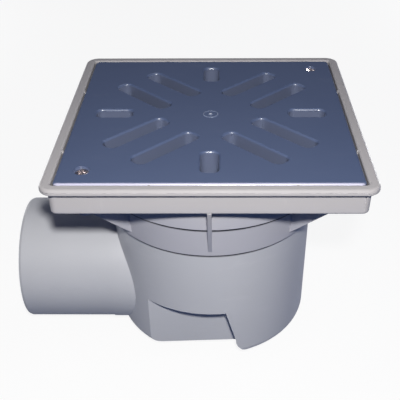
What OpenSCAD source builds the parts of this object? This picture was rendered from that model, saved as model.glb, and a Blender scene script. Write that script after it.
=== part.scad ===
// Floor gully trap: a round pot with a side spigot, a square frame with a tray
// and ribbed neck, a slotted cover, a silt basket and a removable odour trap.
// Origin: on the pot's axis, in the plane that the gully stands on.
// +Z is up, and the spigot points to -X.

/* [Frame] */
// Outside width of the square frame
frame_w = 240; // [230:1:260]
// Height of the frame's top above the standing plane
top_z = 205.4; // [204:0.2:212]
// Height of the rounded rim
rim_h = 4.9; // [4.5:0.1:7]
// Width of the flat border round the cover
border_w = 8.2; // [7.8:0.1:9]
// Outside corner radius of the rim
rim_corner_r = 11; // [10.5:0.5:14]
// How far the tray wall stands back under the rim
tray_inset = 5.3; // [4.8:0.1:5.4]
// Depth of the tray below the frame's top
tray_depth = 24; // [22:0.1:25]
// Thickness of the tray floor
floor_t = 2.5; // [2:0.1:3]
// Thickness of the gussets
gusset_t = 3.1; // [2.6:0.1:5]

/* [Neck] */
// Outside radius of the upper neck wall at its step
neck_step_r = 96.6; // [96:0.2:99]
// Height of the step in the neck
neck_step_z = 154.6; // [153:0.2:158]
// Outside radius of the neck's lower edge
neck_foot_r = 91.2; // [91:0.2:92]
// Height of the neck's lower edge
neck_foot_z = 126.2; // [124:0.2:128]

/* [Cover] */
// Gap between the cover and the frame
cover_gap = 1; // [0.8:0.1:1.5]
// How far the cover lies below the frame's top
cover_drop = 0.1; // [0:0.1:1]
// Thickness of the cover's top plate
plate_t = 4; // [3:0.5:5]
// Radius of the rounded edges on the cover
lip_r = 2; // [1.5:0.1:2.2]
// Width of a slot at the top face
slot_w = 17.6; // [15:0.2:18]
// Length of the four short slots at the top face
short_slot = 34; // [28:0.2:35]
// Distance of the short slots' middle from the centre
short_slot_at = 79.6; // [77:0.1:81]
// Length of the eight diagonal slots at the top face
long_slot = 65; // [58:0.5:66]
// Distance of the diagonal slots' middle from the centre
long_slot_at = 65; // [64:0.5:66]
// Distance of a diagonal slot from the diagonal
long_slot_off = 17.2; // [16.8:0.1:18]
// Distance of the cover screws from the centre, along X and Y
screw_at = 92.2; // [92:0.1:94]

/* [Pot] */
// Outside radius of the pot at the top
pot_top_r = 87.5; // [86.5:0.5:87.6]
// Outside radius of the pot at the floor
pot_foot_r = 86.5; // [86:0.1:87]
// Wall thickness of the pot
pot_t = 3; // [2.8:0.1:3.4]
// Height of the pot's rim
pot_rim_z = 151.4; // [150:0.2:151.6]
// Height of the pot's outer floor face above the standing plane
pot_floor_z = 11; // [9:0.2:12]
// Radius of the pot's bottom edge
pot_edge_r = 6.5; // [5:0.5:7]

/* [Recess] */
// Height of the ledge over the recess
ledge_z = 61.4; // [58:0.2:63]
// Distance of the flat face from the pot's axis
recess_y = 65.2; // [64:0.2:68]
// Turn of the flat face about the vertical
recess_turn = 2.6; // [2:0.1:3]

/* [Spigot] */
// Outside radius of the spigot
spigot_r = 55; // [54.8:0.1:55.2]
// Wall thickness of the spigot
spigot_t = 3.2; // [3:0.1:3.6]
// Height of the spigot's axis
spigot_z = 56.1; // [56:0.1:57]
// Distance of the spigot's end from the pot's axis
spigot_end = 167.5; // [160:0.5:180]

/* [Trap] */
// Distance of the weir from the pot's axis
weir_x = 50; // [49:0.5:51]
// Height of the weir's top
weir_z = 90; // [86:1:92]
// Height of the hood's lower edge
hood_dip_z = 40; // [36:1:44]
// Height of the ledge that the hood stands on
hood_ledge_z = 100; // [99:0.5:101]

/* [Hidden] */
$fn = 96;

eps = 0.05;                               // small overlap between joined shapes
big = 400;                                // reach of a half-space cutter

// frame
tray_z = top_z - tray_depth;              // underside of the tray
tray_floor_z = tray_z + floor_t;
opening_w = frame_w - 2 * border_w;       // clear width inside the border
tray_edge_r = 2.2;                        // rounded edge under the tray
ledge_top_z = tray_floor_z + 3;           // ledge round the tray that the cover stands on
ledge_w = 4.5;
tray_stub_x = 0.3;                        // inner end of the tray's section
tray_draft = 0.6;                         // taper of the tray wall
rim_top_r = 2.6;
rim_in_r = 1.6;                           // round on the border's inner edge
rim_low_r = 1.2;
neck_t = 2.6;
neck_step_w = 2.9;                        // how far the step stands back
neck_top_r = neck_step_r + 1.2;
throat_r = 84;                            // clear radius through the frame
funnel_z = neck_step_z + 6;               // outer height of the funnel on the shelf
neck_chamfer = 0.7;
funnel_low_z = neck_step_z + 1.5;         // the funnel's upper edge at the throat
gusset_rise = 5;                          // gussets end this far above the neck's lower edge
gusset_bite = 1.3;                        // how deep a gusset runs into the neck's wall
gusset_toe = 1.6;                         // how far a gusset stands out at its lower end
gusset_reach = 114;                       // of the four gussets under the sides
corner_reach = 142;                       // of the four gussets under the corners
boss_r = 6.5;
boss_z = 170;
insert_r = 4;
insert_z = 174.5;
insert_grooves = [3.2, 6.4];              // grooves above the insert's lower end
groove_w = 0.9;
groove_deep = 0.6;
spacer_r = 1.2;
spacer_drop = 0.6;                        // spacer ribs end this far below the cover's face
spacer_out = 0.3;                         // spacer rib axis inside the tray wall
spacer_side = [45, -62];                  // spacer ribs along the left and right walls
spacer_front = [-42, 62];                 // spacer ribs along the front and back walls

// cover
cover_w = opening_w - 2 * cover_gap;
cover_z = top_z - cover_drop;             // top face of the cover
cover_corner_r = 4.5;
skirt_t = 3;
slot_r = 7;                               // corner radius of a slot at the top face
tube_t = 2.4;                             // wall round each slot
tube_z = tray_floor_z + 4.8;              // lower edge of the diagonal slots' walls
short_tube_z = tray_floor_z + 1.4;        // and of the short slots' walls
rib_t = 2.2;
rib_z = tray_floor_z + 6;
rib_at = [-48, 0, 48];
rib_ring_r = 26;
pillar_r = 7.5;
head_r = 5.2;
head_t = 0.6;                             // height of the head's cylindrical edge
shank_r = 2.95;
head_drop = 1.2;                          // screw head below the cover's face
head_gap = 1;                             // between the head and the wall of its pocket
shank_gap = 0.35;
cross_l = 5.8;                            // cross recess in the head
cross_w = 1.1;
cross_deep = 1.8;
gate_r = 6.5;                             // shallow ring round the moulding's gate mark
gate_w = 1.6;
gate_deep = 0.5;
gate_h = 0.35;                            // of the gate mark above the cover's face
gate_y = -2;

// pot
pot_floor_t = 3.5;
pot_in_z = pot_floor_z + pot_floor_t;     // top of the pot's floor
foot_ring_r = 46;
foot_t = 3.5;
foot_pad_r = 12;                          // pad in the middle of the foot
recess_left = 100;                        // reach of the recess past the pot's left side
recess_below = 20;                        // and below the standing plane
recess_side_x = 8.9;                      // recess side at the ledge
recess_flare_x = 17.7;                    // lower end of the side, where the round starts
recess_flare_r = 18;                      // round that leads the side into the floor
trough_x = 60;                            // end of the trough under the pot's floor
spigot_root_x = 89;                       // the spigot is a little thicker from here to the pot
spigot_root_r = spigot_r + 0.6;
bore_r = spigot_r - spigot_t;
weir_t = 3;
in_chamfer = 2;                           // round the pot's floor inside

// trap
hood_x = 41;                              // outer face of the hood's skirt
hood_t = 2.5;
hood_r = 82;
hood_half = 71.5;                         // half width of the skirt
hood_half_low = 60;                       // half width beside the recess in the pot
hood_low_z = ledge_z + 6;                 // the skirt is narrower below this
hood_rib_at = [-40, 40];                  // stiffening ribs on the roof
hood_rib_x = -72;
hood_rib_l = 33;
hood_rib_t = 2.4;
hood_rib_h = 6;
grip_x = -46;                             // finger grip on the roof
grip_w = 24;
grip_h = 12;
hood_ledge_t = 4;
seal_t = 3;
seal_w = 4;
collar_h = 7;                             // collar round the plug
collar_t = 3;
plug_r = 14;
plug_x = -63;
plug_wall = 3;
plug_gap = 0.3;
plug_rim = 2.5;                           // how far the plug's flange stands out
plug_rim_h = 2;
plug_bar_l = 18;                          // grip bar on the plug
plug_bar_w = 3;
plug_bar_h = 4;
ring_r = 0.72;                            // section of the plug's O-ring
ring_gap = 0.03;                          // on each side of the O-ring
ring_z = 3.5;                             // O-ring above the hood's roof

// basket
basket_z = 118;                           // underside of the basket
basket_r = 78;
basket_top_r = 81;
basket_t = 2;
basket_rim_z = neck_step_z + 6.1;         // underside of the rim at the wall
basket_rim_r = throat_r + 8;
bar_z = neck_step_z + 4;                  // lifting bar
bar_w = 8;
bar_h = 3;
bar_web_w = 2.4;
bar_web_h = 5;
basket_hole_r = 3;
hole_rings = 4;
hole_ring_gap = 17;
hole_ring_first = 14;
wall_holes = 24;
wall_hole_z = basket_z + 16;

// Shared shapes.

module rounded_square(w, l, r) {
    square([w - 2 * r, l], center = true);
    square([w, l - 2 * r], center = true);
    for (x = [-1, 1], y = [-1, 1])
        translate([x * (w / 2 - r), y * (l / 2 - r)]) circle(r);
}

// Runs a section round a rounded square: x counts outwards from the corner centres.
module sweep_square(w, l, r) {
    for (i = [0, 1]) rotate(180 * i) {
        translate([w / 2 - r, l / 2 - r, 0]) rotate_extrude(angle = 90) children();
        translate([r - w / 2, l / 2 - r, 0]) rotate(90) rotate_extrude(angle = 90) children();
        translate([w / 2 - r, l / 2 - r, 0]) rotate([90, 0, 0]) linear_extrude(l - 2 * r) children();
        translate([r - w / 2, l / 2 - r, 0]) rotate([90, 0, 90]) linear_extrude(w - 2 * r) children();
    }
}

// Quarter disc that rounds a corner. side and up are 1 or -1: the quarter's place from its centre.
module corner_round(x, z, r, side, up) {
    translate([x, z]) intersection() {
        circle(r);
        translate([side > 0 ? 0 : -r, up > 0 ? 0 : -r]) square(r);
    }
}

// Frame.

// Section through the rim, the tray wall and the edge of its floor.
module frame_section() {
    x_out = rim_corner_r;
    x_in = rim_corner_r - border_w;
    x_wall = rim_corner_r - tray_inset;
    x_edge = x_wall - tray_draft - tray_edge_r;
    rim_z = top_z - rim_h;
    polygon([[tray_stub_x, tray_z], [x_edge, tray_z], [x_edge + tray_edge_r, tray_z + tray_edge_r],
             [x_wall, rim_z], [x_out - rim_low_r, rim_z], [x_out, rim_z + rim_low_r],
             [x_out, top_z - rim_top_r], [x_out - rim_top_r, top_z], [x_in + rim_in_r, top_z],
             [x_in, top_z - rim_in_r], [x_in, tray_floor_z], [tray_stub_x, tray_floor_z]]);
    corner_round(x_edge, tray_z + tray_edge_r, tray_edge_r, 1, -1);
    corner_round(x_out - rim_low_r, rim_z + rim_low_r, rim_low_r, 1, -1);
    corner_round(x_out - rim_top_r, top_z - rim_top_r, rim_top_r, 1, 1);
    corner_round(x_in + rim_in_r, top_z - rim_in_r, rim_in_r, -1, 1);
}

module neck() {
    step_r = neck_step_r - neck_step_w;
    shelf_z = neck_step_z - neck_t;
    upper_z = tray_floor_z - 1;           // inside the tray's floor
    rotate_extrude() polygon([
        [neck_top_r, upper_z], [neck_step_r, neck_step_z + neck_chamfer],
        [neck_step_r - neck_chamfer, neck_step_z], [step_r, neck_step_z],
        [neck_foot_r, neck_foot_z + neck_chamfer], [neck_foot_r - neck_chamfer, neck_foot_z],
        [neck_foot_r - neck_t, neck_foot_z], [step_r - neck_t, shelf_z],
        [throat_r, shelf_z], [throat_r, funnel_low_z],
        [neck_step_r - neck_t, funnel_z], [neck_top_r - neck_t, upper_z]]);
}

// One gusset in the XZ plane, from the tray down to just above the neck's lower edge.
module gusset(reach) {
    toe_z = neck_foot_z + gusset_rise;
    toe_x = neck_foot_r + gusset_toe;
    rotate([90, 0, 0]) translate([0, 0, -gusset_t / 2]) linear_extrude(gusset_t)
        polygon([[neck_top_r - gusset_bite, tray_z + 1], [reach, tray_z + 1], [reach, tray_z],
                 [toe_x, toe_z + 1], [toe_x - 1, toe_z], [neck_foot_r - 1, toe_z],
                 [neck_step_r - neck_step_w - gusset_bite, neck_step_z - 1],
                 [neck_step_r - gusset_bite, neck_step_z + 2]]);
}

// The ledge round the inside of the tray, under the cover's edge.
module tray_ledge() {
    outer = opening_w + 1;
    inner = opening_w - 2 * ledge_w;
    translate([0, 0, tray_floor_z - eps]) linear_extrude(ledge_top_z - tray_floor_z + eps) difference() {
        rounded_square(outer, outer, 2);
        rounded_square(inner, inner, 2);
    }
}

module spacer_rib() {
    cylinder(r = spacer_r, h = cover_z - spacer_drop - tray_z - 1);
}

module frame() color([0.72, 0.71, 0.71]) {
    slab_w = frame_w - 2 * rim_corner_r + 1;
    spacer_at = opening_w / 2 + spacer_out;
    difference() {
        union() {
            sweep_square(frame_w, frame_w, rim_corner_r) frame_section();
            difference() {
                translate([0, 0, tray_z]) linear_extrude(floor_t)
                    rounded_square(slab_w, slab_w, 0.4);
                translate([0, 0, tray_z - 1]) cylinder(r = neck_top_r - neck_t, h = floor_t + 2);
            }
            tray_ledge();
            neck();
            for (a = [0:90:270]) {
                rotate(a) gusset(gusset_reach);
                rotate(a + 45) gusset(corner_reach);
            }
            for (s = [-1, 1]) translate([s * screw_at, s * screw_at, boss_z])
                cylinder(r = boss_r, h = tray_z + 1 - boss_z);
            for (s = [-1, 1], y = spacer_side) translate([s * spacer_at, y, tray_z + 1]) spacer_rib();
            for (s = [-1, 1], x = spacer_front) translate([x, s * spacer_at, tray_z + 1]) spacer_rib();
        }
        for (s = [-1, 1]) translate([s * screw_at, s * screw_at, insert_z])
            cylinder(r = insert_r, h = top_z - insert_z);
    }
}

// Neck seal: a ring with two lips between the pot's rim and the neck.

module neck_seal() color([0.1, 0.1, 0.1]) {
    low_z = pot_rim_z - 14;
    in_r = pot_top_r + 0.1;
    rotate_extrude() translate([in_r, low_z]) polygon([
        [0, 0], [1.5, 0], [2.1, 4], [1.8, 5.5], [2.7, 9], [2.3, 10.5], [3.1, 13], [0, 13]]);
}

// Cover.

// Opening of one slot, wall to wall, with the rounded lip at the top face.
module slot_cut(len) {
    inner_w = slot_w - 2 * lip_r;
    inner_l = len - 2 * lip_r;
    inner_r = slot_r - lip_r;
    translate([0, 0, tray_floor_z - 1]) linear_extrude(cover_z - tray_floor_z + 2)
        rounded_square(inner_l, inner_w, inner_r);
    sweep_square(inner_l, inner_w, inner_r) lip_section(inner_r);
}

// Material taken away beside a slot's wall, which leaves a rounded lip.
module lip_section(r) {
    top = 0.12;                           // the round runs out just above the face
    difference() {
        translate([r - 1, cover_z - lip_r + top]) square([lip_r + 1, lip_r + 1]);
        translate([r + lip_r, cover_z - lip_r + top]) circle(lip_r);
    }
}

module slot_tube(len, low_z) {
    translate([0, 0, low_z]) linear_extrude(cover_z - plate_t + eps - low_z)
        rounded_square(len - 2 * lip_r + 2 * tube_t, slot_w - 2 * lip_r + 2 * tube_t,
                       slot_r - lip_r + tube_t);
}

// Places a shape, which lies along X, at each of the twelve slots.
module at_short_slots() {
    for (a = [0:90:270]) rotate(a) translate([short_slot_at, 0, 0]) children();
}
module at_long_slots() {
    for (a = [45:90:315], s = [-1, 1]) rotate(a) translate([long_slot_at, s * long_slot_off, 0]) children();
}

module cover_skirt_section() {
    x = cover_corner_r;
    h = cover_z - ledge_top_z;
    translate([x - skirt_t, ledge_top_z]) square([skirt_t, h - lip_r]);
    translate([x - skirt_t, ledge_top_z]) square([skirt_t - lip_r, h]);
    translate([x - lip_r, cover_z - lip_r]) circle(lip_r);
}

module cover_ribs() {
    h = cover_z - plate_t + eps - rib_z;
    inside = cover_w - skirt_t;
    across = 2 * norm([screw_at, screw_at]);   // from pillar to pillar, corner to corner
    translate([0, 0, rib_z]) {
        for (p = rib_at) {
            translate([p - rib_t / 2, -inside / 2, 0]) cube([rib_t, inside, h]);
            translate([-inside / 2, p - rib_t / 2, 0]) cube([inside, rib_t, h]);
        }
        for (a = [45, 135]) rotate(a) translate([-across / 2, -rib_t / 2, 0])
            cube([across, rib_t, h]);
        difference() {
            cylinder(r = rib_ring_r, h = h);
            translate([0, 0, -1]) cylinder(r = rib_ring_r - rib_t, h = h + 2);
        }
    }
}

module screw_pocket() {
    seat_z = cover_z - head_drop - head_t;
    cone_h = head_r - shank_r;
    translate([0, 0, seat_z]) cylinder(r = head_r + head_gap, h = head_drop + head_t + 1);
    translate([0, 0, seat_z - cone_h]) cylinder(r1 = shank_r + eps, r2 = head_r + eps, h = cone_h);
    translate([0, 0, tray_floor_z - 1])
        cylinder(r = shank_r + shank_gap, h = cover_z - tray_floor_z - 1);
}

module grate() color([0.25, 0.3, 0.42]) {
    plate_w = cover_w - 2 * lip_r - 0.4;
    difference() {
        union() {
            sweep_square(cover_w, cover_w, cover_corner_r) cover_skirt_section();
            translate([0, 0, cover_z - plate_t]) linear_extrude(plate_t)
                rounded_square(plate_w, plate_w, cover_corner_r - lip_r - 0.2);
            cover_ribs();
            at_short_slots() slot_tube(short_slot, short_tube_z);
            at_long_slots() slot_tube(long_slot, tube_z);
            for (x = [-1, 1], y = [-1, 1]) translate([x * screw_at, y * screw_at, tray_floor_z])
                cylinder(r = pillar_r, h = cover_z - plate_t + eps - tray_floor_z);
        }
        at_short_slots() slot_cut(short_slot);
        at_long_slots() slot_cut(long_slot);
        for (s = [-1, 1]) translate([s * screw_at, s * screw_at, 0]) screw_pocket();
        translate([0, gate_y, cover_z - gate_deep]) difference() {
            cylinder(r = gate_r, h = 1);
            translate([0, 0, -1]) cylinder(r = gate_r - gate_w, h = 3);
        }
    }
    translate([0, gate_y, cover_z - eps]) cylinder(r1 = gate_w, r2 = 1, h = gate_h + eps);
}

// Screws and inserts.

module cover_screw() {
    head_z = cover_z - head_drop;
    cone_h = head_r - shank_r;
    tip = 0.8;                            // chamfer at the shank's end
    difference() {
        union() {
            translate([0, 0, head_z - head_t]) cylinder(r = head_r, h = head_t);
            translate([0, 0, head_z - head_t - cone_h]) cylinder(r1 = shank_r, r2 = head_r, h = cone_h);
            translate([0, 0, insert_z + tip]) cylinder(r = shank_r, h = head_z - 2 * tip - insert_z);
            translate([0, 0, insert_z]) cylinder(r1 = shank_r - tip, r2 = shank_r, h = tip);
        }
        for (a = [0, 90]) rotate(a) translate([-cross_l / 2, -cross_w / 2, head_z - cross_deep])
            cube([cross_l, cross_w, cross_deep + 1]);
    }
}

module threaded_insert() {
    difference() {
        translate([0, 0, insert_z]) cylinder(r = insert_r - eps, h = tray_floor_z - insert_z);
        translate([0, 0, insert_z - 1]) cylinder(r = shank_r + eps, h = tray_floor_z);
        for (z = insert_grooves) translate([0, 0, insert_z + z]) difference() {
            cylinder(r = insert_r + 1, h = groove_w);
            translate([0, 0, -1]) cylinder(r = insert_r - groove_deep, h = groove_w + 2);
        }
    }
}

module cover_screw_front() color("silver") translate([-screw_at, -screw_at, 0]) cover_screw();
module cover_screw_rear() color("silver") translate([screw_at, screw_at, 0]) cover_screw();
module insert_front() color("goldenrod") translate([-screw_at, -screw_at, 0]) threaded_insert();
module insert_rear() color("goldenrod") translate([screw_at, screw_at, 0]) threaded_insert();

// Pot.

// The recess at the lower front, seen from the front; grow adds a wall's thickness.
module recess_outline(grow) {
    r = recess_flare_r - grow;
    centre_x = recess_flare_x + recess_flare_r;
    centre_z = pot_floor_z + recess_flare_r;
    flare = [for (a = [0:12:72]) [centre_x - r * cos(a), centre_z - r * sin(a)]];
    polygon(concat([[-recess_left, -recess_below], [-recess_left, ledge_z + grow],
                    [recess_side_x + grow, ledge_z + grow]],
                   flare, [[centre_x, -recess_below]]));
}

module recess_cut(grow) {
    rotate(recess_turn) translate([0, -recess_y + grow, 0]) rotate([90, 0, 0])
        linear_extrude(big / 4) recess_outline(grow);
}

module pot_outside() {
    edge_x = pot_foot_r - pot_edge_r;
    edge_z = pot_floor_z + pot_edge_r;
    rotate_extrude() {
        polygon([[0, pot_floor_z], [edge_x, pot_floor_z], [pot_foot_r, edge_z],
                 [pot_top_r, pot_rim_z], [0, pot_rim_z]]);
        corner_round(edge_x, edge_z, pot_edge_r, 1, -1);
    }
}

module spigot_outside() {
    chamfer_l = 2;
    chamfer_r = 0.8;
    translate([-spigot_end, 0, spigot_z]) rotate([0, 90, 0]) {
        cylinder(r1 = spigot_r - chamfer_r, r2 = spigot_r, h = chamfer_l);
        translate([0, 0, chamfer_l]) cylinder(r = spigot_r, h = spigot_end - trough_x - chamfer_l);
    }
    translate([-spigot_root_x, 0, spigot_z]) rotate([0, 90, 0])
        cylinder(r = spigot_root_r, h = spigot_root_x - trough_x);
}

// Everything inside the pot that stays hollow.
module pot_inside() {
    difference() {
        rotate_extrude() polygon([
            [0, pot_in_z], [pot_foot_r - pot_t - in_chamfer, pot_in_z],
            [pot_foot_r - pot_t, pot_in_z + in_chamfer],
            [pot_top_r - pot_t, pot_rim_z + 1], [0, pot_rim_z + 1]]);
        recess_cut(pot_t);
        // weir in front of the outlet
        translate([-weir_x, -big / 2, 0]) cube([weir_t, big, weir_z]);
        // ledge that the trap hood stands on
        translate([-big / 2 - hood_x, 0, 0]) difference() {
            translate([0, -big / 2, hood_ledge_z - hood_ledge_t]) cube([big / 2, big, hood_ledge_t]);
            translate([big / 2 + hood_x, 0, 0]) cylinder(r = hood_r - seal_w - 0.5, h = hood_ledge_z + 1);
        }
    }
    translate([-spigot_end - 1, 0, spigot_z]) rotate([0, 90, 0])
        cylinder(r = bore_r, h = spigot_end + 1 - trough_x - spigot_t);
}

module foot() {
    difference() {
        cylinder(r = foot_ring_r, h = pot_floor_z + 1);
        translate([0, 0, -1]) cylinder(r = foot_ring_r - foot_t, h = pot_floor_z + 3);
    }
    cylinder(r = foot_pad_r, h = pot_floor_z + 1);
    for (a = [0, 90]) rotate(a) translate([1 - foot_ring_r, -foot_t / 2, 0])
        cube([2 * foot_ring_r - 2, foot_t, pot_floor_z + 1]);
}

module pot() color([0.66, 0.68, 0.7]) {
    difference() {
        union() {
            pot_outside();
            spigot_outside();
            foot();
        }
        recess_cut(0);
        pot_inside();
    }
}

// Trap.

// Plan of the space behind the hood's skirt, inside radius r.
module hood_plan(r, x) {
    intersection() {
        circle(r);
        translate([-big, -big / 2]) square([big - x, big]);
    }
}

module trap_seal() color([0.1, 0.1, 0.1]) {
    translate([0, 0, hood_ledge_z]) linear_extrude(seal_t) difference() {
        hood_plan(hood_r + 0.5, hood_x + 0.5);
        circle(hood_r - seal_w);
    }
}

module trap_hood() color([0.2, 0.22, 0.25]) {
    roof_z = hood_ledge_z + seal_t;
    difference() {
        union() {
            translate([0, 0, roof_z]) linear_extrude(hood_t) hood_plan(hood_r, hood_x - hood_t);
            // front skirt, narrower where the recess stands in the pot
            translate([-hood_x, -hood_half, hood_low_z])
                cube([hood_t, 2 * hood_half, roof_z + 1 - hood_low_z]);
            translate([-hood_x, -hood_half_low, hood_dip_z])
                cube([hood_t, hood_half_low + hood_half, hood_low_z + 1 - hood_dip_z]);
            for (y = hood_rib_at) translate([hood_rib_x, y - hood_rib_t / 2, roof_z + 1])
                cube([hood_rib_l, hood_rib_t, hood_rib_h]);
            translate([plug_x, 0, roof_z]) cylinder(r = plug_r + collar_t, h = collar_h);
            translate([grip_x, -grip_w / 2, roof_z + 1]) cube([hood_t, grip_w, grip_h]);
        }
        translate([plug_x, 0, roof_z - 1]) cylinder(r = plug_r, h = collar_h + 3);
    }
}

module rodding_plug() color([0.2, 0.22, 0.25]) {
    groove_h = 2;
    translate([plug_x, 0, hood_ledge_z + seal_t]) difference() {
        union() {
            cylinder(r = plug_r - plug_gap, h = collar_h);
            translate([0, 0, collar_h]) cylinder(r = plug_r + plug_rim, h = plug_rim_h);
            translate([-plug_bar_l / 2, -plug_bar_w / 2, collar_h + plug_rim_h - 0.1])
                cube([plug_bar_l, plug_bar_w, plug_bar_h]);
        }
        translate([0, 0, -1]) cylinder(r = plug_r - plug_wall, h = collar_h - 1);
        // groove of the O-ring
        translate([0, 0, ring_z - groove_h / 2]) difference() {
            cylinder(r = plug_r + 1, h = groove_h);
            translate([0, 0, -1]) cylinder(r = plug_r - 2 * (ring_r + ring_gap), h = groove_h + 2);
        }
    }
}

module plug_seal() color([0.1, 0.1, 0.1]) {
    translate([plug_x, 0, hood_ledge_z + seal_t + ring_z])
        rotate_extrude() translate([plug_r - ring_r - ring_gap, 0]) circle(ring_r);
}

// Basket.

module basket_wall_section() {
    rim_t = 2;
    fall = 1.8;                           // the rim slopes up to its edge by this
    polygon([[0, basket_z], [basket_r - 3, basket_z], [basket_r, basket_z + 3],
             [basket_top_r, basket_rim_z], [basket_rim_r, basket_rim_z + fall],
             [basket_rim_r, basket_rim_z + fall + rim_t],
             [basket_top_r - basket_t, basket_rim_z + rim_t],
             [basket_r - basket_t, basket_z + 4], [basket_r - basket_t - 2, basket_z + basket_t],
             [0, basket_z + basket_t]]);
}

module silt_basket() color([0.35, 0.38, 0.42]) {
    bar_l = 2 * basket_top_r - 4;
    difference() {
        union() {
            rotate_extrude() basket_wall_section();
            translate([-bar_w / 2, -bar_l / 2, bar_z]) cube([bar_w, bar_l, bar_h]);
            translate([-bar_web_w / 2, -bar_l / 2, bar_z - bar_web_h])
                cube([bar_web_w, bar_l, bar_web_h + 1]);
        }
        // drain holes in the floor and the wall
        for (ring = [0:hole_rings - 1], i = [0:5 + 6 * ring])
            rotate(360 * i / (6 + 6 * ring))
                translate([hole_ring_first + hole_ring_gap * ring, 0, basket_z - 1])
                    cylinder(r = basket_hole_r, h = basket_t + 3);
        for (i = [0:wall_holes - 1]) rotate(360 * (i + 0.5) / wall_holes)
            translate([basket_r - 6, 0, wall_hole_z]) rotate([0, 90, 0])
                cylinder(r = basket_hole_r, h = 12);
    }
}

pot();
frame();
neck_seal();
grate();
cover_screw_front();
cover_screw_rear();
insert_front();
insert_rear();
silt_basket();
trap_hood();
trap_seal();
rodding_plug();
plug_seal();
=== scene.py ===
# Floor gully trap: finishes, small parts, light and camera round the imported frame
import math

import bpy
from mathutils import Matrix, Vector


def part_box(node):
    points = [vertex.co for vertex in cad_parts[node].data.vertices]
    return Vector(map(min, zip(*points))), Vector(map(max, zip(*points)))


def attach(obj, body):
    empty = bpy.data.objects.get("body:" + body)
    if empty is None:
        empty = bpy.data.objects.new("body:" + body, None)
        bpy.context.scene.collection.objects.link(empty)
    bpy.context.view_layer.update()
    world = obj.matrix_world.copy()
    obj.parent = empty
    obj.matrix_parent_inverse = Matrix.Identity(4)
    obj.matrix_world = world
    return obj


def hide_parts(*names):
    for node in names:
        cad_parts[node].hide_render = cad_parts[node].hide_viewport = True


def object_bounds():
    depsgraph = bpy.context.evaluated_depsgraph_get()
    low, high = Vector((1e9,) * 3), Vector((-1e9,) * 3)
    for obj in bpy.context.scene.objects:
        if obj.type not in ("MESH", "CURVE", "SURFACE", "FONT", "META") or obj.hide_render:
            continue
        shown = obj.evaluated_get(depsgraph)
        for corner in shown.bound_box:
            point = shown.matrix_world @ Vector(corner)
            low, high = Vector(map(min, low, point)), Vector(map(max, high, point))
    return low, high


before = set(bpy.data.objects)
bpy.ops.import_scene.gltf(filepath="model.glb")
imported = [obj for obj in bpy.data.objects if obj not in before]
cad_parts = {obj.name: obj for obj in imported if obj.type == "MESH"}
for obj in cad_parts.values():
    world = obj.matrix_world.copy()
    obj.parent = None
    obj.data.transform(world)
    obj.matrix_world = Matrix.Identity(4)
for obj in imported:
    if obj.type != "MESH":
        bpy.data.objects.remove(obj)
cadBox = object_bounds()
bpy.ops.object.select_all(action="DESELECT")
print("frame loaded with", len(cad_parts), "nodes")


class Wire:                                   # a socket that can be added, multiplied and so on
    def __init__(self, owner, socket):
        self.owner = owner
        self.socket = socket

    def calc(self, operation, first, second):
        return self.owner.node("ShaderNodeMath", {"operation": operation}, {0: first, 1: second})

    def __add__(self, other):
        return self.calc("ADD", self, other)

    def __radd__(self, other):
        return self.calc("ADD", other, self)

    def __sub__(self, other):
        return self.calc("SUBTRACT", self, other)

    def __rsub__(self, other):
        return self.calc("SUBTRACT", other, self)

    def __mul__(self, other):
        return self.calc("MULTIPLY", self, other)

    def __rmul__(self, other):
        return self.calc("MULTIPLY", other, self)

    def __pow__(self, other):
        return self.calc("POWER", self, other)

    def __rpow__(self, other):
        return self.calc("POWER", other, self)


class NodeTree:                               # the nodes of a material or of the world
    def __init__(self, owner):
        owner.use_nodes = True
        self.tree = owner.node_tree

    def node(self, kind, settings, inputs, output=0):
        made = self.tree.nodes.new(kind)
        for name, value in settings.items():
            if name == "stops":
                self.setStops(made.color_ramp, value)
            else:
                setattr(made, name, value)
        for name, value in inputs.items():
            if isinstance(value, Wire):
                self.tree.links.new(value.socket, made.inputs[name])
            else:
                made.inputs[name].default_value = value
        return Wire(self, made.outputs[output])

    def setStops(self, ramp, stops):
        while len(ramp.elements) < len(stops):
            ramp.elements.new(0.5)
        for element, (position, level) in zip(ramp.elements, stops):
            element.position = position
            element.color = (level, level, level, 1)

    def ramp(self, value, stops):
        return self.node("ShaderNodeValToRGB", {"stops": stops}, {"Fac": value})

    def blend(self, first, second, amount):   # two colours, all of the second where the amount is 1
        return self.node("ShaderNodeMix", {"data_type": "RGBA"}, {0: amount, 6: first, 7: second}, 2)

    def eyeShare(self, gloss):                # 1 for the camera and through clear pieces, less in shine
        seen = self.node("ShaderNodeLightPath", {}, {}, "Is Camera Ray")
        rays = seen.socket.node.outputs
        return seen + Wire(self, rays["Is Glossy Ray"]) * gloss + Wire(self, rays["Is Transmission Ray"])

    def showInstead(self, shader, white, share, output):      # white takes the shader's place by its share
        mixed = self.node("ShaderNodeMixShader", {}, {0: share, 2: white})
        self.tree.links.new(shader, mixed.socket.node.inputs[1])
        self.tree.links.new(mixed.socket, self.tree.nodes[output].inputs["Surface"])


noiseRoughness = 0.6                          # how strong the finer levels of every noise are


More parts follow.
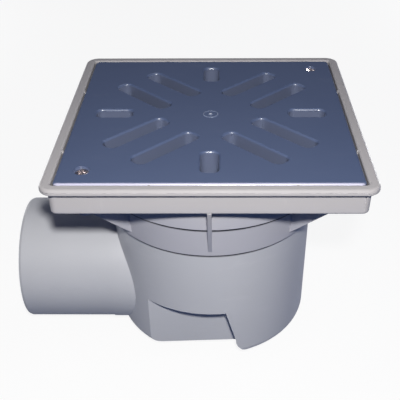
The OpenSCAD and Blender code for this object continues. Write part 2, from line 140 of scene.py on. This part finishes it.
class Finish(NodeTree):                       # a new material with its shader and its patterns
    def __init__(self, name, constants):
        self.material = bpy.data.materials.new(name)
        super().__init__(self.material)
        self.shader = self.tree.nodes["Principled BSDF"]
        for socket, value in constants.items():
            self.shader.inputs[socket].default_value = value
        self.place = self.node("ShaderNodeTexCoord", {}, {}, "Object")

    def noise(self, scale, detail=2.0, stretch=(1, 1, 1)):
        spot = self.node("ShaderNodeMapping", {}, {"Vector": self.place, "Scale": stretch})
        inputs = {"Vector": spot, "Scale": scale, "Detail": detail, "Roughness": noiseRoughness}
        return self.node("ShaderNodeTexNoise", {}, inputs, "Fac")

    def along(self, axis):
        return self.node("ShaderNodeSeparateXYZ", {}, {"Vector": self.place}, axis)

    def bump(self, height, depth, strength):
        inputs = {"Height": height, "Distance": depth, "Strength": strength}
        return self.node("ShaderNodeBump", {}, inputs, "Normal")

    def feed(self, socket, wire):
        self.tree.links.new(wire.socket, self.shader.inputs[socket])


def linear(red, green, blue):                 # colour written in screen values, 0 to 255
    levels = [value / 255 for value in (red, green, blue)]
    return [v / 12.92 if v <= 0.04045 else ((v + 0.055) / 1.055) ** 2.4 for v in levels] + [1.0]


plasticSkin = {                               # shared by all the moulded plastics
    "ior": 1.49, "cloudDetail": 3.0, "flowScale": 2.2, "flowDetail": 2.0, "grainDetail": 2.0,
    "rubDetail": 6.0, "rubStops": [(0.60, 0.0), (0.78, 1.0)],
    "cloudShare": 0.6, "grainShare": 0.6, "bumpStrength": 0.6,
    "cloudRough": 0.10, "grainRough": 0.08, "rubRough": 0.10,
}


def mouldedPlastic(name, look):               # satin moulded plastic: clouds, grain, fine rubbing
    skin = plasticSkin
    finish = Finish(name, {
        "IOR": skin["ior"], "Specular IOR Level": look["gloss"],
        "Coat Weight": look["coat"], "Coat Roughness": look["coatRough"],
    })
    clouds = finish.noise(look["cloudScale"], skin["cloudDetail"])
    flow = finish.noise(look["cloudScale"] * skin["flowScale"], skin["flowDetail"], look["flowStretch"])
    grain = finish.noise(look["grainScale"], skin["grainDetail"])
    rub = finish.ramp(finish.noise(look["rubScale"], skin["rubDetail"], look["rubStretch"]), skin["rubStops"])
    shift = clouds * skin["cloudShare"] + flow * (1 - skin["cloudShare"])
    colour = finish.blend(linear(*look["deep"]), linear(*look["pale"]), shift)
    colour = finish.blend(colour, linear(*look["rubbed"]), rub * look["rubAmount"])
    # painted light and shade laid over the colour, by height and distance
    for tone in look.get("paintedShading", []):
        colour = finish.blend(colour, linear(*tone["colour"]), paintedShadingShare(finish, tone))
    finish.feed("Base Color", colour)
    rough = look["rough"] + (clouds - 0.5) * skin["cloudRough"] + (grain - 0.5) * skin["grainRough"]
    finish.feed("Roughness", rough + rub * skin["rubRough"])
    relief = grain * skin["grainShare"] + flow * (1 - skin["grainShare"])
    finish.feed("Normal", finish.bump(relief, look["grainDepth"], skin["bumpStrength"]))
    return finish.material


def paintedShadingShare(finish, tone):                  # where painted light and shade change the colour, by height and distance
    rise = (finish.along("Z") - tone["low"]) * (1 / (tone["high"] - tone["low"]))
    share = finish.ramp(rise, tone["stops"]) * tone["amount"]
    if "within" in tone:
        flat = finish.node("ShaderNodeMapping", {}, {"Vector": finish.place, "Scale": (1, 1, 0)})
        reach = finish.node("ShaderNodeVectorMath", {"operation": "LENGTH"}, {0: flat}, "Value")
        share = share * reach.calc("LESS_THAN", reach, tone["within"])
    if "front" in tone:
        forward = (finish.along("Y") * -1 - tone["front"]) * (1 / tone["blur"])
        share = share * finish.ramp(forward, upStops)
    return share


# How a tone comes and goes between its low and high end. Heights and distances are in metres.
bandStops = [(0.0, 0.0), (0.35, 1.0), (0.92, 1.0), (1.0, 0.0)]
downStops = [(0.0, 1.0), (1.0, 0.0)]
upStops = [(0.0, 0.0), (1.0, 1.0)]

coverLook = {
    "deep": (74, 89, 123), "pale": (84, 99, 132), "rubbed": (112, 122, 146), "rubAmount": 0.25,
    "gloss": 0.85, "coat": 0.9, "coatRough": 0.22,
    "paintedShading": [                                # painted light on the slot walls; painted highlights on the front lip, the gate mark's crest and its nub
        # painted light on the slot walls, strongest towards their foot
        {"low": 0.2028, "high": 0.2051, "stops": downStops, "colour": (103, 111, 135), "amount": 0.8},
        # painted highlight along the cover's front lip
        {"low": 0.2036, "high": 0.2060, "stops": [(0.0, 0.0), (0.2, 1.0)], "colour": (206, 204, 226),
         "amount": 0.75, "front": 0.1088, "blur": 0.0010},
        # painted highlights on the gate mark's crest and on its nub
        {"low": 0.20542, "high": 0.20562, "stops": upStops, "colour": (176, 186, 208), "amount": 0.5},
        {"low": 0.20559, "high": 0.20564, "stops": upStops, "colour": (226, 232, 244), "amount": 1.0},
    ],
    "rough": 0.46, "cloudScale": 9.0, "flowStretch": (1, 1, 3), "grainScale": 900.0,
    "rubScale": 26.0, "rubStretch": (1, 5, 1), "grainDepth": 0.00008,
}
frameLook = {
    "deep": (177, 174, 175), "pale": (188, 185, 185), "rubbed": (202, 199, 197), "rubAmount": 0.3,
    "paintedShading": [                                # painted bluish shade on the neck, painted shade on the rim top, painted shade under the neck's step
        # painted bluish shade on the neck below the tray
        {"low": 0.160, "high": 0.190, "stops": downStops, "colour": (178, 179, 188), "amount": 0.8},
        # painted shade on the top of the rim
        {"low": 0.196, "high": 0.204, "stops": upStops, "colour": (166, 164, 166), "amount": 0.35},
        {"low": 0.1508, "high": 0.1547, "stops": bandStops, "colour": (16, 16, 24), "amount": 1.0,
         "within": 0.0945},
    ],
    "gloss": 0.15, "coat": 0.05, "coatRough": 0.3,
    "rough": 0.56, "cloudScale": 8.0, "flowStretch": (1, 1, 4), "grainScale": 850.0,
    "rubScale": 30.0, "rubStretch": (4, 1, 1), "grainDepth": 0.00008,
}
potLook = {
    "deep": (181, 183, 188), "pale": (195, 196, 200), "rubbed": (206, 206, 209), "rubAmount": 0.3,
    "gloss": 0.3, "coat": 0.25, "coatRough": 0.18,
    "rough": 0.48, "cloudScale": 7.0, "flowStretch": (1, 1, 0.3), "grainScale": 800.0,
    "rubScale": 22.0, "rubStretch": (1, 1, 4), "grainDepth": 0.0001,
    "paintedShading": [                                # shade under the pot's rim
        {"low": 0.1216, "high": 0.1266, "stops": bandStops, "colour": (16, 16, 24), "amount": 1.0,
         "within": 0.0902},
    ],
}
innerLook = {
    "deep": (56, 64, 84), "pale": (68, 76, 96), "rubbed": (96, 102, 118), "rubAmount": 0.4,
    "gloss": 0.5, "coat": 0.0, "coatRough": 0.2,
    "rough": 0.46, "cloudScale": 12.0, "flowStretch": (1, 1, 2), "grainScale": 700.0,
    "rubScale": 30.0, "rubStretch": (1, 1, 3), "grainDepth": 0.00014,
}


rubberLook = {
    "ior": 1.5, "deep": (26, 26, 27), "bloom": (70, 70, 72), "bloomScale": 40.0, "bloomDetail": 4.0,
    "bloomFall": 3, "rough": 0.62, "bloomRough": 0.25,
    "grainScale": 900.0, "grainDepth": 0.00015, "bumpStrength": 0.5,
}


def sealRubber(look):                         # dark rubber with a pale bloom here and there
    finish = Finish("seal rubber", {"IOR": look["ior"]})
    bloom = finish.noise(look["bloomScale"], look["bloomDetail"])
    grain = finish.noise(look["grainScale"])
    share = bloom ** look["bloomFall"]
    finish.feed("Base Color", finish.blend(linear(*look["deep"]), linear(*look["bloom"]), share))
    finish.feed("Roughness", look["rough"] + (bloom - 0.5) * look["bloomRough"])
    finish.feed("Normal", finish.bump(grain, look["grainDepth"], look["bumpStrength"]))
    return finish.material


metalSkin = {                                 # shared by the steel and the brass
    "dullDetail": 4.0, "dullRough": 0.18,
    "ringScale": 3000.0, "ringDetail": 1.0, "ringStretch": (0.05, 0.05, 1), "ringRough": 0.08,
    "ringDepth": 0.00004, "bumpStrength": 0.4,
}


def turnedMetal(name, look):                  # turned or pressed metal with fine rings and dull spots
    skin = metalSkin
    finish = Finish(name, {"Metallic": 1.0})
    dull = finish.noise(look["dullScale"], skin["dullDetail"])
    rings = finish.noise(skin["ringScale"], skin["ringDetail"], skin["ringStretch"])
    finish.feed("Base Color", finish.blend(linear(*look["bright"]), linear(*look["dull"]), dull))
    finish.feed("Roughness", look["rough"] + dull * skin["dullRough"] + (rings - 0.5) * skin["ringRough"])
    finish.feed("Normal", finish.bump(rings, skin["ringDepth"], skin["bumpStrength"]))
    return finish.material


steelLook = {"bright": (250, 240, 240), "dull": (182, 168, 166), "rough": 0.15, "dullScale": 260.0}
brassLook = {"bright": (222, 186, 110), "dull": (160, 126, 66), "rough": 0.28, "dullScale": 240.0}

finishes = {
    "grate": mouldedPlastic("slate blue cover plastic", coverLook),
    "frame": mouldedPlastic("pale grey frame plastic", frameLook),
    "pot": mouldedPlastic("pale grey pot plastic", potLook),
    "silt_basket": mouldedPlastic("dark basket plastic", innerLook),
    "neck_seal": sealRubber(rubberLook),
    "cover_screw_front": turnedMetal("stainless steel", steelLook),
    "insert_front": turnedMetal("turned brass", brassLook),
}
sameFinish = {                                # nodes that share another node's finish
    "trap_hood": "silt_basket", "rodding_plug": "silt_basket", "trap_seal": "neck_seal",
    "plug_seal": "neck_seal", "cover_screw_rear": "cover_screw_front", "insert_rear": "insert_front",
}
for name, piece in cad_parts.items():
    piece.data.materials.clear()
    piece.data.materials.append(finishes[sameFinish.get(name, name)])
print("finishes on", len(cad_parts), "nodes")


# Small pieces are shaped here: a primitive at its place, then edit mode and modifiers.
def startShaping(piece):
    bpy.ops.object.select_all(action="DESELECT")
    bpy.context.view_layer.objects.active = piece
    piece.select_set(True)


nearlyLevel = 0.9                             # a face is level when its normal's height passes this


def facesUp(normal):
    return normal.z > nearlyLevel


def facesDown(normal):
    return normal.z < -nearlyLevel


def pick(piece, test):                        # chooses faces by their normal, and leaves edit mode on
    bpy.ops.object.mode_set(mode="EDIT")
    bpy.ops.mesh.select_mode(type="FACE")
    bpy.ops.mesh.select_all(action="DESELECT")
    bpy.ops.object.mode_set(mode="OBJECT")
    for face in piece.data.polygons:
        face.select = test(face.normal)
    bpy.ops.object.mode_set(mode="EDIT")


def pushOut(lift, spread):                    # extrudes the chosen faces upwards and widens or narrows them
    bpy.ops.mesh.extrude_region_move(TRANSFORM_OT_translate={"value": (0, 0, lift)})
    bpy.ops.transform.resize(value=(spread, spread, 1))


def applyModifier(piece, kind, **settings):
    modifier = piece.modifiers.new(kind.lower(), kind)
    for name, value in settings.items():
        setattr(modifier, name, value)
    bpy.ops.object.modifier_apply(modifier=modifier.name)


smoothAngle = 35                              # edges sharper than this stay crisp, in degrees


def settle(piece, finish):              # place goes into the mesh, then finish and body
    startShaping(piece)
    bpy.ops.object.mode_set(mode="EDIT")
    bpy.ops.mesh.select_all(action="SELECT")
    bpy.ops.mesh.normals_make_consistent(inside=False)
    bpy.ops.object.mode_set(mode="OBJECT")
    bpy.ops.object.transform_apply(location=True, rotation=True, scale=True)
    bpy.ops.object.shade_smooth_by_angle(angle=math.radians(smoothAngle))
    piece.data.materials.clear()
    piece.data.materials.append(finish)
    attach(piece, "root")
    piece.select_set(False)


screwShape = {                                # metres, and degrees for turn and edgeAngle
    "sides": 48, "headRadius": 0.0050, "shankRadius": 0.0029, "headHeight": 0.0006, "rimShare": 0.35,
    "domeSteps": ((0.42, 0.95), (0.28, 0.90), (0.18, 0.80), (0.12, 0.6)), "tipInset": 0.0006,
    "crossLength": 0.0076, "crossWidth": 0.0024, "crossDepth": 0.0028, "crossTaper": 0.48,
    "crossRise": 0.0001, "turn": 13, "edge": 0.00012, "edgeAngle": 40,
}


def crossArm(mouth, length, width):           # a tapered bar that reaches a little above the head
    depth, rise, taper = screwShape["crossDepth"], screwShape["crossRise"], screwShape["crossTaper"]
    bpy.ops.mesh.primitive_cube_add(size=1, location=(mouth[0], mouth[1], mouth[2] - depth / 2 + rise))
    arm = bpy.context.object
    bpy.ops.object.mode_set(mode="EDIT")
    bpy.ops.transform.resize(value=(length, width, depth + 2 * rise))
    bpy.ops.object.mode_set(mode="OBJECT")
    pick(arm, facesDown)
    bpy.ops.transform.resize(value=(taper, taper, 1))
    bpy.ops.object.mode_set(mode="OBJECT")
    return arm


def crossCutter(mouth):
    shape = screwShape
    cutter = crossArm(mouth, shape["crossLength"], shape["crossWidth"])
    crossArm(mouth, shape["crossWidth"], shape["crossLength"])
    cutter.select_set(True)
    bpy.context.view_layer.objects.active = cutter
    bpy.ops.object.join()
    bpy.ops.object.mode_set(mode="EDIT")
    bpy.ops.mesh.select_all(action="SELECT")
    bpy.ops.transform.rotate(value=math.radians(shape["turn"]), orient_axis="Z", center_override=mouth)
    bpy.ops.object.mode_set(mode="OBJECT")
    return cutter


def shapeScrew(name, low, high):              # shank, countersunk cone, rim and dome, then the cross recess
    shape = screwShape
    x, y = (low[0] + high[0]) / 2, (low[1] + high[1]) / 2
    cone = shape["headRadius"] - shape["shankRadius"]
    neck = high[2] - shape["headHeight"] - cone
    bpy.ops.mesh.primitive_cylinder_add(
        vertices=shape["sides"], radius=shape["shankRadius"], depth=neck - low[2],
        location=(x, y, (neck + low[2]) / 2))
    screw = bpy.context.object
    screw.name = name
    pick(screw, facesDown)
    bpy.ops.mesh.inset(thickness=shape["tipInset"], depth=0)
    bpy.ops.object.mode_set(mode="OBJECT")
    pick(screw, facesUp)
    pushOut(cone, shape["headRadius"] / shape["shankRadius"])
    pushOut(shape["headHeight"] * shape["rimShare"], 1)
    dome = shape["headHeight"] * (1 - shape["rimShare"])
    for lift, spread in shape["domeSteps"]:
        pushOut(dome * lift, spread)
    bpy.ops.object.mode_set(mode="OBJECT")
    cutter = crossCutter((x, y, high[2]))
    startShaping(screw)
    applyModifier(screw, "BOOLEAN", operation="DIFFERENCE", object=cutter, solver="EXACT", use_self=True)
    applyModifier(screw, "BEVEL", width=shape["edge"], segments=2, limit_method="ANGLE",
                  angle_limit=math.radians(shape["edgeAngle"]))
    bpy.data.objects.remove(cutter)
    return screw


def copyTo(piece, name, shift):               # a copy with its own mesh
    startShaping(piece)
    bpy.ops.object.duplicate(linked=False)
    twin = bpy.context.object
    twin.name = name
    bpy.ops.transform.translate(value=shift)
    return twin


frontBox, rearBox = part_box("cover_screw_front"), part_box("cover_screw_rear")
frontScrew = shapeScrew("screw_front", *frontBox)
rearScrew = copyTo(frontScrew, "screw_rear", rearBox[0] - frontBox[0])
for screw, node in ((frontScrew, "cover_screw_front"), (rearScrew, "cover_screw_rear")):
    settle(screw, finishes["cover_screw_front"])
    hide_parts(node)
print("two cover screws shaped")


gateShape = {                                 # the moulding's gate mark: a low ring with a nub in its middle
    "sides": 64, "radius": 0.0066, "place": (0, -0.002, 0.2052), "sink": 0.0006,
    "ring": ((0.00014, 0.00022), (0.00022, 0.00015), (0.00060, 0.00003), (0.00022, -0.00016),
             (0.00014, -0.00016)),
    "gap": (0.00320, 0.0),
    "nub": ((0.00016, 0.00014), (0.00024, 0.00014), (0.00050, 0.00003)),
}


def gateMark():
    x, y, z = gateShape["place"]
    sink = gateShape["sink"]
    bpy.ops.mesh.primitive_cylinder_add(
        vertices=gateShape["sides"], radius=gateShape["radius"], depth=2 * sink, location=(x, y, z - sink))
    mark = bpy.context.object
    mark.name = "gate_mark"
    pick(mark, facesUp)
    for width, rise in (*gateShape["ring"], gateShape["gap"], *gateShape["nub"]):
        bpy.ops.mesh.inset(thickness=width, depth=rise)
    bpy.ops.object.mode_set(mode="OBJECT")
    settle(mark, finishes["grate"])


gateMark()
print("gate mark shaped")


stage = {
    "floorSize": 7.0, "floorGap": 0.0002, "floorDeep": (44, 70, 118), "floorPale": (52, 78, 128),
    "speckleScale": 3.0, "speckleDetail": 3.0, "floorRough": 0.9, "floorShine": 0.2, "floorWhite": 0.9,
    "floorGloss": 0.3, "floorSeen": (0.9, 0.9, 0.9, 1),
    "backdrop": (0.95, 0.95, 0.95, 1), "backdropGloss": 0.06, "lampTarget": (0, 0, 0.12),
    "keyPlace": (0.030, -0.575, 0.593), "keySize": 0.045, "keyPower": 5.6, "keyColour": (1.0, 0.98, 0.955),
    "fillPlace": (-1.3, -1.2, 0.7), "fillSize": 1.0, "fillPower": 0.25,
    "backPlace": (0.0, 0.42, 0.95), "backSize": 0.5, "backPower": 0.55,
    "rearPlaces": ((-0.95, 0.85, 0.09), (0.85, 1.0, 0.09)), "rearSize": 0.2, "rearPower": 7.0,
    "rimPlace": (0.95, 0.25, 0.10), "rimSize": 0.4, "rimPower": 0.7, "rimColour": (0.10, 0.24, 1.0),
    "skyColour": (100, 144, 248), "skyLevel": 0.055,
}


def pointAt(lamp, place, target):
    direction = Vector(target) - Vector(place)
    lamp.matrix_world = Matrix.Translation(place) @ direction.to_track_quat("-Z", "Y").to_matrix().to_4x4()


def softLamp(name, place, size, power, colour=(1, 1, 1)):
    light = bpy.data.lights.new(name, "AREA")
    light.shape = "DISK"
    light.size = size
    light.energy = power
    light.color = colour
    lamp = bpy.data.objects.new(name, light)
    lamp.visible_camera = False
    bpy.context.scene.collection.objects.link(lamp)
    pointAt(lamp, place, stage["lampTarget"])


softLamp("key lamp", stage["keyPlace"], stage["keySize"], stage["keyPower"], stage["keyColour"])
softLamp("fill lamp", stage["fillPlace"], stage["fillSize"], stage["fillPower"])
softLamp("back lamp", stage["backPlace"], stage["backSize"], stage["backPower"])
for count, place in enumerate(stage["rearPlaces"]):
    softLamp(f"rear lamp {count}", place, stage["rearSize"], stage["rearPower"])
softLamp("rim lamp", stage["rimPlace"], stage["rimSize"], stage["rimPower"], stage["rimColour"])

bpy.ops.mesh.primitive_plane_add(size=stage["floorSize"], location=(0, 0, cadBox[0][2] - stage["floorGap"]))
floor = bpy.context.object
floor.name = "floor"
bpy.ops.object.transform_apply(location=True, rotation=True, scale=True)
# The floor looks white to the camera, and throws little and bluish light on the piece.
floorFinish = Finish("pale floor", {
    "Roughness": stage["floorRough"], "Specular IOR Level": stage["floorShine"],
})
speckle = floorFinish.noise(stage["speckleScale"], stage["speckleDetail"])
bounce = floorFinish.blend(linear(*stage["floorDeep"]), linear(*stage["floorPale"]), speckle)
eye = floorFinish.eyeShare(stage["floorGloss"])
floorFinish.feed("Base Color", floorFinish.blend(bounce, stage["floorSeen"], eye))
glow = floorFinish.node("ShaderNodeEmission", {}, {"Color": (1, 1, 1, 1), "Strength": 1.0})
lit = floorFinish.shader.outputs["BSDF"]
floorFinish.showInstead(lit, glow, eye * stage["floorWhite"], "Material Output")
floor.data.materials.append(floorFinish.material)

world = bpy.data.worlds.new("studio")
bpy.context.scene.world = world
room = NodeTree(world)
sky = room.tree.nodes["Background"]
sky.inputs["Color"].default_value = linear(*stage["skyColour"])
sky.inputs["Strength"].default_value = stage["skyLevel"]
backdrop = room.node("ShaderNodeBackground", {}, {"Color": stage["backdrop"], "Strength": 1.0})
room.showInstead(sky.outputs["Background"], backdrop, room.eyeShare(stage["backdropGloss"]), "World Output")

camera = {
    "place": (0.0068, -0.5312, 0.4691), "tilt": 56.614, "turn": 0.874, "roll": -0.489,
    "lens": 63.97, "sensor": 36, "shift": -0.0245, "nearest": 0.01,
}
lens = bpy.data.cameras.new("camera")
lens.lens = camera["lens"]
lens.sensor_width = camera["sensor"]
lens.shift_x = camera["shift"]
lens.clip_start = camera["nearest"]
viewer = bpy.data.objects.new("camera", lens)
bpy.context.scene.collection.objects.link(viewer)
turned = Matrix.Rotation(math.radians(camera["turn"]), 4, "Z")
tilted = Matrix.Rotation(math.radians(camera["tilt"]), 4, "X")
rolled = Matrix.Rotation(math.radians(camera["roll"]), 4, "Z")
viewer.matrix_world = Matrix.Translation(camera["place"]) @ turned @ tilted @ rolled
bpy.context.scene.camera = viewer
bpy.context.scene.view_settings.view_transform = "Standard"
print("floor, lamps and camera are in place")
